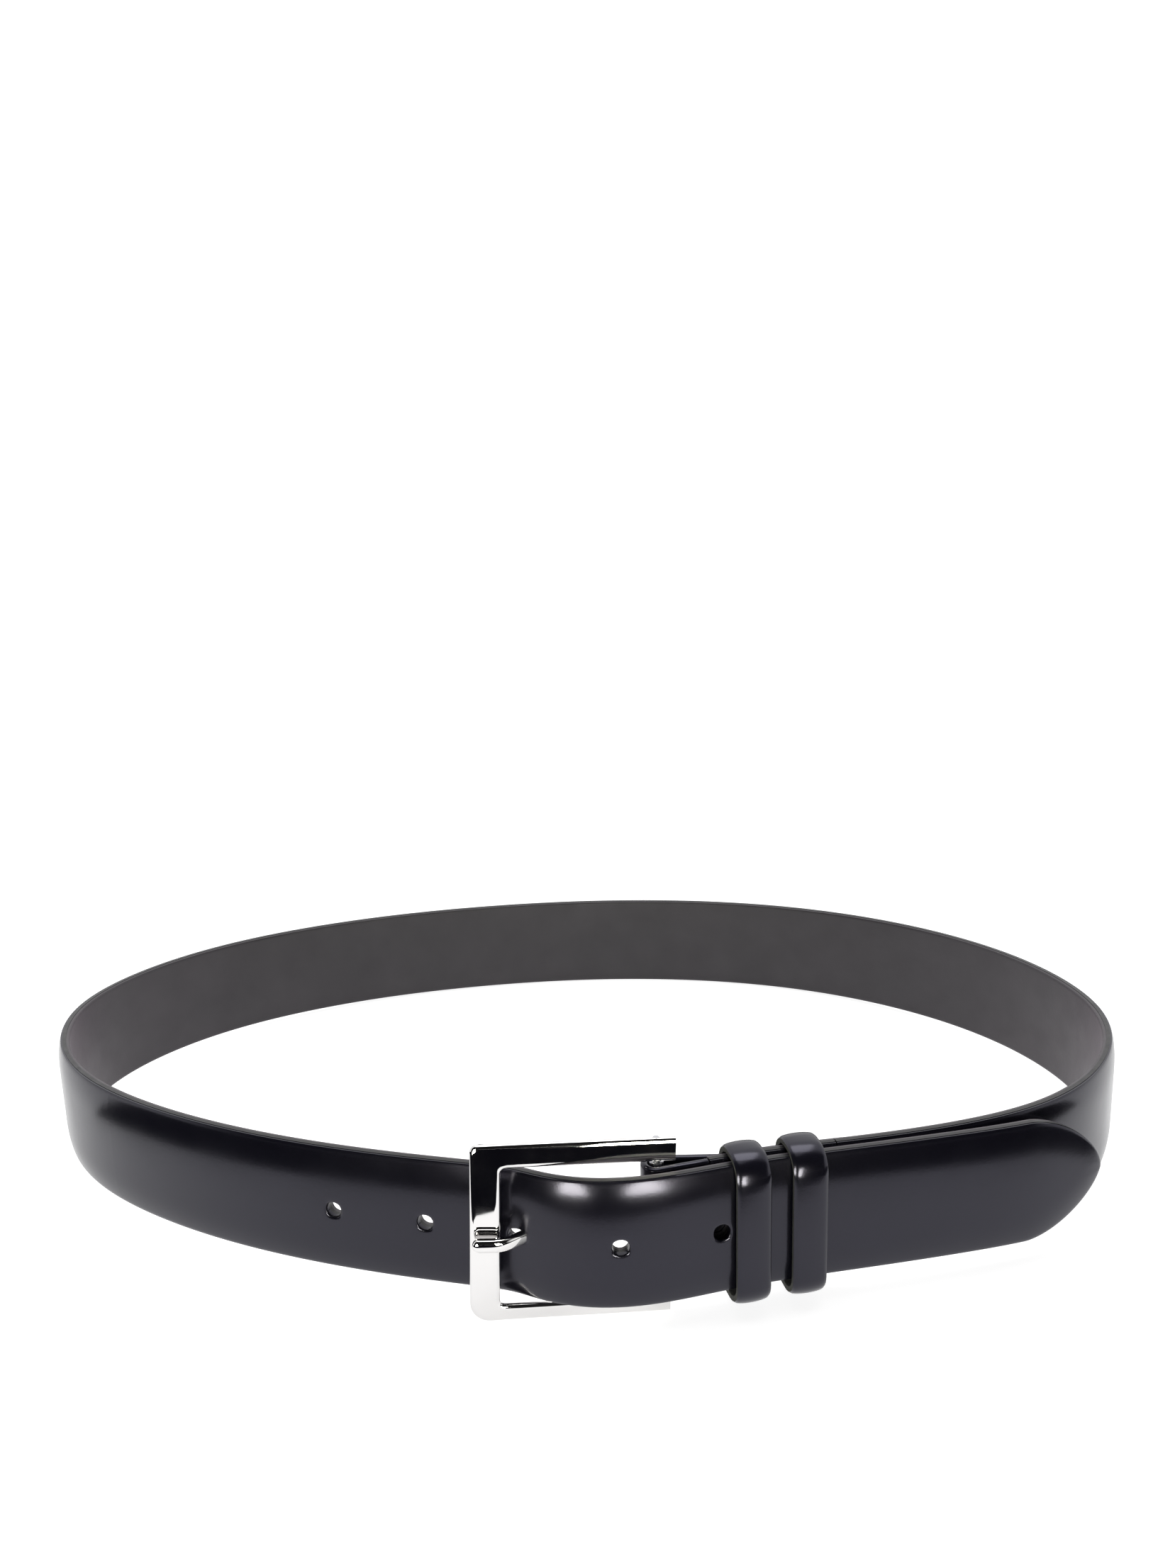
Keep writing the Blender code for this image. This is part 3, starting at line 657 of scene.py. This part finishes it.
def make_fold():
    """The buckle end: one thickness of leather round the heel bar and back inside the strap."""
    radius = HEEL_RADIUS + CLEARANCE + FOLD_THICK / 2
    first = [STRAP.point(s) for s in np.linspace(buckle_end_at(FOLD_START), 0.2 * MM, 5)]
    nose = [HEEL_SPOT + radius * Vector((-math.sin(a), -math.cos(a), 0))
            for a in np.linspace(0, math.pi, 25)]
    beside = STRAP_THICK / 2 + CLEARANCE + FOLD_THICK / 2
    flap_from, flap_to = (buckle_end_at(x) for x in (FLAP_START, FLAP_END))
    flap = [STRAP.point(s, -beside) for s in np.linspace(flap_from, flap_to, 16)]
    bridge = [nose[-1].lerp(flap[0], t) for t in (0.33, 0.67)]
    plan = first + nose[1:] + bridge + flap
    rings = []
    flap_begins = len(plan) - len(flap)
    for i, p in enumerate(plan):
        along = (plan[min(i + 1, len(plan) - 1)] - plan[max(i - 1, 0)]).normalized()
        out = Vector((along.y, -along.x, 0))
        left = (plan[-1] - p).length
        thin = 1.0 - SKIVE * max(0.0, 1 - left / SKIVE_LENGTH)
        trim = FLAP_TRIM * min(1.0, max(0, i - flap_begins + TRIM_STEPS) / TRIM_STEPS)
        ring = []
        for across, z in section_points(FOLD_THICK * thin, WIDTH - 2 * trim, FOLD_ROUND):
            ring.append(p + out * across + Vector((0, 0, z + trim)))
        rings.append(ring)
    fold = new_object("fold", mesh_from(loft(rings), "fold"), [LEATHER])
    bm = bmesh.new()
    size = (2 * FOLD_SLOT_REACH, FOLD_SLOT_DEPTH, FOLD_SLOT)
    bmesh.ops.create_cube(bm, size=1, matrix=Matrix.Translation(HEEL_SPOT + Vector((0, 0, MIDDLE)))
                          @ Matrix.Diagonal((*size, 1)))
    cut(fold, mesh_from(bm, "slot"))
    add_bevel(fold, 0.25 * MM, 2, 60)
    apply_modifiers(fold)
    smooth(fold)
    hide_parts("turned_back_end")
    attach(fold, "fold_end")
    make_stitches(buckle_end_at(BETWEEN_KEEPERS), beside + FOLD_THICK / 2)


def section_points(thick, height, corner):
    """A rectangle with rounded corners, thickness across and height up from 0."""
    corner = min(corner, thick * 0.48)
    points = []
    for x, z, turn in ((thick / 2, height, 0), (-thick / 2, height, 90), (-thick / 2, 0, 180),
                       (thick / 2, 0, 270)):
        cx = x - math.copysign(corner, x)
        cz = z - corner if z > 0 else corner
        for step in range(6):
            angle = math.radians(turn + 18 * step)
            points.append((cx + corner * math.cos(angle), cz + corner * math.sin(angle)))
    return points


def make_stitches(place, depth):
    """Two rows of stitches that hold the fold, seen on the inside of the turned-back end."""
    bm = bmesh.new()
    size = Matrix.Diagonal((STITCH_RADIUS, STITCH_RADIUS, STITCH_LENGTH / 2, 1))
    for s in (place, buckle_end_at(FLAP_END) - STITCHES_FROM_END):
        turn = STRAP.outward(s).to_track_quat("X", "Z").to_matrix().to_4x4()
        for k in range(STITCHES_PER_ROW):
            z = FIRST_STITCH + k * STITCH_PITCH
            middle = Matrix.Translation(STRAP.point(s, -depth - STITCH_RADIUS * 0.35, z))
            bmesh.ops.create_uvsphere(bm, u_segments=10, v_segments=8, radius=1,
                                      matrix=middle @ turn @ size)
    rows = new_object("fold_stitches", mesh_from(bm, "fold_stitches"), [THREAD])
    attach(rows, "fold_end")


def keeper_ring():
    """Points round the inside of a keeper, with the way outward at each, in (outward, up)."""
    back = -(STRAP_THICK / 2 + FOLD_THICK + 2 * CLEARANCE)
    front = LAYER_STEP + STRAP_THICK / 2 + CLEARANCE + KEEPER_FRONT_ROOM
    low, high = -KEEPER_ROOM_BELOW, WIDTH + KEEPER_ROOM_ABOVE
    ring = []
    corners = ((front, low, -90, KEEPER_CORNER), (front, high, 0, KEEPER_CORNER),
               (back, high, 90, KEEPER_CORNER), (back, low, 180, KEEPER_LOW_BACK_CORNER))
    for x, z, turn, corner in corners:
        cx = x - math.copysign(corner, x)
        cz = z + (corner if z < 0 else -corner)
        for step in range(9):
            angle = math.radians(turn + 11.25 * step)
            ring.append((cx + corner * math.cos(angle), cz + corner * math.sin(angle),
                         math.cos(angle), math.sin(angle)))
    dense = []
    for a, b in zip(ring, ring[1:] + ring[:1]):
        gap = math.hypot(b[0] - a[0], b[1] - a[1])
        steps = max(1, round(gap / KEEPER_DENSITY))
        for t in range(steps):
            mix = [a[i] + (b[i] - a[i]) * t / steps for i in range(4)]
            size = math.hypot(mix[2], mix[3])
            dense.append((mix[0], mix[1], mix[2] / size, mix[3] / size))
    return dense


def make_keeper(number, across):
    """A domed leather loop: polished outside, raw along its two cut edges."""
    s = buckle_end_at(across)
    place = frame_of(STRAP.direction(s), STRAP.outward(s), STRAP.point(s))
    half = KEEPER_WIDTH / 2
    profile = []
    slots = []
    for t in np.linspace(-1, 1, 17):
        crown = math.sqrt(max(0.0, 1 - abs(t) ** KEEPER_CROWN_POWER))
        profile.append((t * half, KEEPER_THICK * (KEEPER_EDGE + KEEPER_CROWN * crown)))
        slots.append(0)
    slots[-1] = 1
    # The lower corners are broken, and every strip from one crown edge round to the other is raw.
    profile += [(half - 0.1 * MM, 0.15 * MM), (half - 0.4 * MM, 0.0), (-half + 0.4 * MM, 0.0),
                (-half + 0.1 * MM, 0.15 * MM)]
    slots += [1, 1, 1, 1]
    rings = []
    for out, z, nx, nz in keeper_ring():
        rings.append([place @ Vector((x, -(out + nx * lift), z + nz * lift)) for x, lift in profile])
    bm = loft(rings, closed_path=True, slots=slots)
    keeper = new_object(f"keeper_{number}_loop", mesh_from(bm, "keeper"), [LEATHER, RAW], 55)
    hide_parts(f"keeper_{number}")
    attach(keeper, "fold_end")


# ---------------------------------------------------------------- buckle

def frame_place():
    along = Vector((-math.cos(FRAME_LEAN), -math.sin(FRAME_LEAN), 0))
    outward = Vector((math.sin(FRAME_LEAN), -math.cos(FRAME_LEAN), 0))
    spot = HEEL_SPOT + Vector((0, 0, MIDDLE))
    columns = (along, outward, Vector((0, 0, 1)))
    return Matrix.Translation(spot) @ Matrix([[c[i] for c in columns] for i in range(3)]).to_4x4()


def make_frame():
    """The frame is one bar swept up one arm, along the front and back down the other arm."""
    place = frame_place()
    rolled = place @ Matrix.Rotation(-FRAME_ROLL, 4, "Y")
    left = FRAME_LENGTH - ARM_BEYOND_AXIS
    arm_z = FRAME_HEIGHT / 2
    # Outer and inner outlines, from the end of the lower arm round to the end of the upper arm.
    outline = []
    inner_x = left - FRONT_BAR
    for sign, corner_out, arm in ((-1, LOW_CORNER, ARM_HEIGHT), (1, TOP_CORNER, TOP_ARM)):
        side = []
        inner_z = arm_z - arm
        for t in np.linspace(0, 1, 16)[:-1]:
            x = -ARM_BEYOND_AXIS + t * (inner_x - INNER_CORNER + ARM_BEYOND_AXIS)
            side.append(((x, sign * inner_z), (x, sign * arm_z)))
        for step in np.linspace(0, 90, 9):
            a = math.radians(step)
            inner = (inner_x - INNER_CORNER + INNER_CORNER * math.sin(a),
                     sign * (inner_z - INNER_CORNER + INNER_CORNER * math.cos(a)))
            outer = (left - corner_out + corner_out * math.sin(a),
                     sign * (arm_z - corner_out + corner_out * math.cos(a)))
            if step == 0:
                side.append((inner, (inner[0], sign * arm_z)))
            side.append((inner, outer))
        outline.append(side)
    route = outline[0] + outline[1][::-1]
    rings = []
    for inner, outer in route:
        ring = []
        for across, lift in bar_section(math.dist(inner, outer)):
            x = inner[0] + (outer[0] - inner[0]) * across
            z = inner[1] + (outer[1] - inner[1]) * across
            ring.append(rolled @ Vector((x, lift, z)))
        rings.append(ring)
    obj = new_object("buckle_frame_polished", mesh_from(loft(rings), "frame"), [CHROME], 60)
    bm = bmesh.new()
    bmesh.ops.create_cone(bm, cap_ends=True, segments=28, radius1=TENON_RADIUS + 0.1 * MM,
                          radius2=TENON_RADIUS + 0.1 * MM, depth=FRAME_HEIGHT + 4 * MM, matrix=place)
    cut(obj, mesh_from(bm, "tenon holes"))
    smooth(obj, 50)
    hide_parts("buckle_frame")
    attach(obj, "buckle")


def bar_section(width):
    """Section of the frame's bar: broad rounded front, narrower back; (share of the width, outward)."""
    half = FRAME_THICK / 2
    narrow = BACK_BEVEL / width
    brink = half - CROWN - BRINK_DEPTH
    points = [(narrow, -half), (0.0, brink)]
    for turn in np.linspace(0, math.pi, 21):
        t = (1 - math.cos(turn)) / 2
        points.append((t, half - CROWN * (1 - dome(min(t, 1 - t) * width, EDGE_ROUND))))
    points += [(1.0, brink), (1 - narrow, -half)]
    return points


def make_heel_bar():
    half = FRAME_HEIGHT / 2
    thinnest = 0.02 * MM
    profile = []
    for sign, arm in ((1, TOP_ARM), (-1, ARM_HEIGHT)):
        shoulder = half - arm - CLEARANCE
        end = [(0.0, half - 0.3 * MM), (0.85 * TENON_RADIUS, half - 0.3 * MM),
               (TENON_RADIUS, half - 0.5 * MM), (TENON_RADIUS, shoulder),
               (HEEL_RADIUS - 0.2 * MM, shoulder), (HEEL_RADIUS, shoulder - 0.2 * MM)]
        profile += [(r, sign * z) for r, z in end[::sign]]
    rings = []
    for r, z in profile:
        r = max(r, thinnest)
        rings.append([HEEL_SPOT + Vector((r * math.cos(a), r * math.sin(a), MIDDLE + z))
                      for a in np.linspace(0, 2 * math.pi, 41)[:-1]])
    bar = new_object("heel_bar_turned", mesh_from(loft(rings), "heel bar"), [STEEL], 35)
    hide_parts("heel_bar")
    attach(bar, "buckle")


def make_prong():
    """The tongue: rounded all round and at its tip, with an eye round the heel bar."""
    path = Path([from_centre(x * MM, y * MM) for x, y in PRONG_POINTS], 2000)
    rings = []
    for i in range(PRONG_SECTIONS + 1):
        s = path.length * (1 - (1 - i / PRONG_SECTIONS) ** PRONG_CROWDING)
        left = (path.length - s) / PRONG_TIP
        tip = math.sqrt(max(0.0, 1 - (1 - min(left, 1.0)) ** 2))
        tip = max(tip, 0.05)
        half_w, half_t = PRONG_WIDTH / 2 * tip, PRONG_THICK / 2 * (0.35 + 0.65 * tip)
        centre = MIDDLE + PRONG_RISE * max(0.0, 1 - (path.length - s) / PRONG_RISE_LENGTH)
        ring = []
        for a in np.linspace(0, 2 * math.pi, 29)[:-1]:
            flat = math.copysign(abs(math.cos(a)) ** PRONG_FULLNESS, math.cos(a))
            up = math.copysign(abs(math.sin(a)) ** PRONG_FULLNESS, math.sin(a))
            ring.append(path.point(s, -half_t * flat, centre + half_w * up))
        rings.append(ring)
    prong = new_object("prong_polished", mesh_from(loft(rings), "prong"), [CHROME], 45)
    spot = Matrix.Translation(HEEL_SPOT + Vector((0, 0, MIDDLE)))
    bore = HEEL_RADIUS + CLEARANCE
    for radius, depth, operation in ((bore + PRONG_EYE_WALL, PRONG_EYE_WIDTH, "UNION"),
                                     (bore, 4 * PRONG_EYE_WIDTH, "DIFFERENCE")):
        bm = bmesh.new()
        bmesh.ops.create_cone(bm, cap_ends=True, segments=48, radius1=radius, radius2=radius,
                              depth=depth, matrix=spot)
        cut(prong, mesh_from(bm, "eye"), operation)
    smooth(prong, 45)
    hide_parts("prong")
    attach(prong, "prong")


# ---------------------------------------------------------------- studio

WORLD_WHITE, WORLD_DARK = 1.2, 0.012
FLOOR_GLOW = 0.88
FLAG_GAP = 58 * MM          # from the belt to the card
FLAG_ARC = (196, 344)       # degrees round the loop that the card covers
STRIP_AZIMUTHS, STRIP_POWER, STRIP_WIDTH = (-24, 22), 1.1, 0.055
STRIP_COLOUR = (1.0, 0.99, 0.87)
STRIP_LOW, STRIP_HIGH = (0.150, 0.004), (0.340, 0.150)      # distance in front, height
OVERHEAD_PLACE, OVERHEAD_SIZE, OVERHEAD_POWER = (0.0, 0.35, 1.6), (1.4, 1.0), 16

def area_light(name, size, power, place, colour=(1, 1, 1)):
    """place is the light's own matrix; it shines along -Z."""
    data = bpy.data.lights.new(name, "AREA")
    data.shape = "RECTANGLE"
    data.size, data.size_y = size
    data.energy = power
    data.color = colour
    light = bpy.data.objects.new(name, data)
    bpy.context.scene.collection.objects.link(light)
    light.matrix_world = place
    return light


def make_camera():
    """Placed in the belt's frame: about 27 cm in front of the buckle and 19 cm above the strap."""
    data = bpy.data.cameras.new("camera")
    data.lens = 27.0
    data.sensor_width = 36.0
    data.clip_start = 0.01
    pitch, roll, heading = math.radians(12.75), math.radians(1.62), math.radians(3.32)
    right = Vector((1, 0, 0))
    down = Vector((0, -math.sin(pitch), -math.cos(pitch)))
    forward = Vector((0, math.cos(pitch), -math.sin(pitch)))
    rolled_right = math.cos(roll) * right + math.sin(roll) * down
    rolled_down = -math.sin(roll) * right + math.cos(roll) * down
    columns = (rolled_right, -rolled_down, -forward)
    look = Matrix([[c[i] for c in columns] for i in range(3)]).to_4x4()
    spot = Vector((CENTRE[0] + 8.3 * MM, CENTRE[1] - 366.6 * MM, 193.3 * MM))
    camera = bpy.data.objects.new("camera", data)
    bpy.context.scene.collection.objects.link(camera)
    camera.matrix_world = STANCE @ Matrix.Translation(spot) @ Matrix.Rotation(heading, 4, "Z") @ look
    bpy.context.scene.camera = camera


def make_floor():
    """A white table, bright enough to leave only a faint shadow."""
    bm = bmesh.new()
    bmesh.ops.create_grid(bm, x_segments=2, y_segments=2, size=6.0)
    floor = bpy.data.objects.new("floor", mesh_from(bm, "floor"))
    bpy.context.scene.collection.objects.link(floor)
    m = Nodes("white_floor", (0.42, 0.42, 0.42), 0.9)
    m.set("Specular IOR Level", 0.0)
    m.set("Emission Color", (1.0, 1.0, 1.0, 1))
    m.set("Emission Strength", FLOOR_GLOW)
    m.bump([(m.noise(3, 2), 0.001, 0.02)])
    floor.data.materials.append(m.material)


class SkyNodes:
    """Builds the studio's surroundings out of the direction of each ray."""

    def __init__(self, tree):
        self.tree = tree
        coordinate = tree.nodes.new("ShaderNodeTexCoord")
        split = tree.nodes.new("ShaderNodeSeparateXYZ")
        tree.links.new(coordinate.outputs["Generated"], split.inputs["Vector"])
        self.x, self.y, self.z = split.outputs

    def math(self, operation, first, second=None):
        node = self.tree.nodes.new("ShaderNodeMath")
        node.operation = operation
        for socket, value in zip(node.inputs, (first, second)):
            if isinstance(value, (int, float)):
                socket.default_value = value
            elif value is not None:
                self.tree.links.new(value, socket)
        return node.outputs[0]

    def step(self, value, start, end):
        """0 below start and 1 above end, smooth between."""
        node = self.tree.nodes.new("ShaderNodeMapRange")
        node.interpolation_type = "SMOOTHSTEP"
        node.inputs["From Min"].default_value = start
        node.inputs["From Max"].default_value = end
        self.tree.links.new(value, node.inputs["Value"])
        return node.outputs["Result"]


def make_world():
    """White behind, above and beside the belt; in front of it dark, but white to the camera itself."""
    world = bpy.data.worlds.new("studio")
    world.use_nodes = True
    tree = world.node_tree
    shade = tree.nodes["Background"]
    sky = SkyNodes(tree)
    behind = sky.step(sky.y, -0.15, 0.25)
    above = sky.step(sky.z, 0.93, 0.995)
    beside = sky.step(sky.math("ABSOLUTE", sky.x), 0.80, 0.97)
    white = sky.math("MAXIMUM", sky.math("MAXIMUM", behind, above), sky.math("MULTIPLY", beside, 0.9))
    strength = sky.math("ADD", sky.math("MULTIPLY", white, WORLD_WHITE - WORLD_DARK), WORLD_DARK)
    seen = tree.nodes.new("ShaderNodeLightPath").outputs["Is Camera Ray"]
    tree.links.new(sky.math("MAXIMUM", strength, sky.math("MULTIPLY", seen, WORLD_WHITE)),
                   shade.inputs["Strength"])
    shade.inputs["Color"].default_value = (1.0, 1.0, 1.0, 1)
    bpy.context.scene.world = world


def make_flag():
    """A black card on the table in front, seen only in reflections: it darkens the leather's crown."""
    bm = bmesh.new()
    rows = []
    for degrees in np.linspace(*FLAG_ARC, 38):
        c, sn = math.cos(math.radians(degrees)), math.sin(math.radians(degrees))
        near = (CENTRE[0] + (170 * MM + FLAG_GAP) * c, CENTRE[1] + (103 * MM + FLAG_GAP) * sn)
        rows.append([bm.verts.new((*near, 0.0012)), bm.verts.new((3.0 * c, 3.0 * sn, 0.0012))])
    for row, following in zip(rows, rows[1:]):
        bm.faces.new((row[0], row[1], following[1], following[0]))
    card = bpy.data.objects.new("black_card", mesh_from(bm, "black_card"))
    bpy.context.scene.collection.objects.link(card)
    m = Nodes("black_card", (0.004, 0.004, 0.006), 0.9)
    m.set("Specular IOR Level", 0.0)
    m.bump([(m.noise(200, 2), 0.0005, 0.1)])
    card.data.materials.append(m.material)
    card.visible_camera = False
    card.visible_diffuse = False
    card.visible_shadow = False


def make_light_strip(name, azimuth):
    """A strip that rises from the table, seen by the leather's crown and by the chrome."""
    across = math.radians(azimuth)
    ahead = Vector((math.sin(across), -math.cos(across), 0))
    start = Vector((CENTRE[0] - 2 * MM, CENTRE[1] - 107 * MM, 0))
    low, high = (start + ahead * far + Vector((0, 0, height))
                 for far, height in (STRIP_LOW, STRIP_HIGH))
    rise = (high - low).normalized()
    side = Vector((-ahead.y, ahead.x, 0))
    facing = side.cross(rise)
    if facing.dot(ahead) > 0:
        facing = -facing
    columns = (rise.cross(-facing), rise, -facing)
    place = Matrix.Translation((low + high) / 2) @ Matrix(
        [[c[i] for c in columns] for i in range(3)]).to_4x4()
    light = area_light(name, (STRIP_WIDTH, (high - low).length), STRIP_POWER, place, STRIP_COLOUR)
    light.visible_diffuse = False


def make_studio():
    make_camera()
    make_floor()
    make_flag()
    make_world()
    for name, azimuth in zip(("strip_left", "strip_right"), STRIP_AZIMUTHS):
        make_light_strip(name, azimuth)
    turn = (-Vector(OVERHEAD_PLACE)).to_track_quat("-Z", "Y").to_matrix().to_4x4()
    area_light("overhead", OVERHEAD_SIZE, OVERHEAD_POWER, Matrix.Translation(OVERHEAD_PLACE) @ turn)
    bpy.context.scene.view_settings.view_transform = "Standard"


make_strap()
make_fold()
for keeper_number, keeper_place in enumerate(KEEPER_PLACES, start=1):
    make_keeper(keeper_number, keeper_place)
make_frame()
make_heel_bar()
make_prong()
for node in ("keeper_1_staple", "keeper_2_staple"):
    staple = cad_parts[node]
    staple.data.materials.clear()
    staple.data.materials.append(STEEL)
make_studio()
